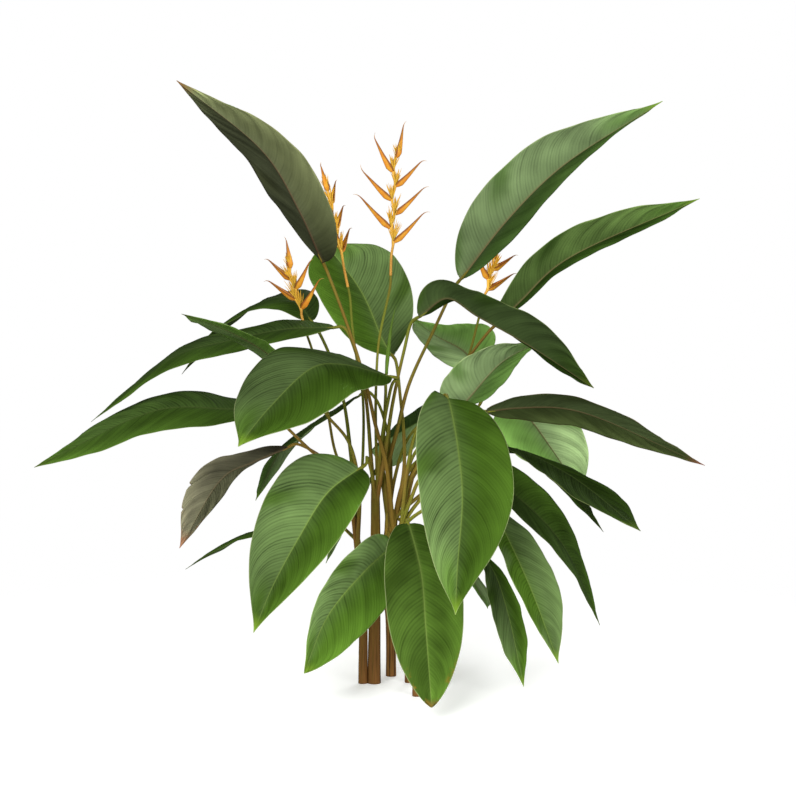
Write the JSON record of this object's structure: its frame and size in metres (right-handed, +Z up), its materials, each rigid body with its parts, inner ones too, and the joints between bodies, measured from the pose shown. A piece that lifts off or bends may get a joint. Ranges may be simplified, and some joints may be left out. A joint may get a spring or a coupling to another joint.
{
  "type": "heliconia clump",
  "caption": "Free-standing heliconia plant with long-stalked paddle leaves and upright heads of orange boat-shaped bracts, standing on flat cut stems.",
  "frame": {"origin": "centre of the cut face of the thickest stem, on the surface that the clump stands on", "axes": "+Z up along the stems, +X to the right of a viewer who faces the clump as in the picture, +Y away from that viewer"},
  "size_m": [2.0206, 1.132, 1.7708],
  "materials": {
    "leaf": "satin",
    "stem": "satin",
    "bract": "satin",
    "rolled_leaf": "satin"
  },
  "bodies": {
    "root": {"leaf_01": "leaf", "leaf_02": "leaf", "leaf_03": "leaf", "leaf_04": "leaf", "leaf_05": "leaf", "leaf_06": "leaf", "leaf_07": "leaf", "leaf_08": "leaf", "leaf_09": "leaf", "leaf_10": "leaf", "leaf_11": "leaf", "leaf_12": "leaf", "leaf_13": "leaf", "leaf_14": "leaf", "leaf_15": "leaf", "leaf_16": "leaf", "leaf_17": "leaf", "leaf_18": "leaf", "leaf_19": "leaf", "leaf_20": "leaf", "leaf_21": "leaf", "leaf_22": "leaf", "leaf_23": "leaf", "leaf_24": "leaf", "leaf_25": "leaf", "leaf_26": "leaf", "leaf_27": "leaf", "leaf_28": "leaf", "leaf_29": "leaf", "shoot_main": "stem", "shoot_left": "stem", "shoot_back": "stem", "shoot_right": "stem", "shoot_front": "stem", "flower_head_tall": "bract", "flower_head_middle": "bract", "flower_head_left": "bract", "flower_head_right": "bract", "rolled_leaf": "rolled_leaf"}
  },
  "joints": []
}
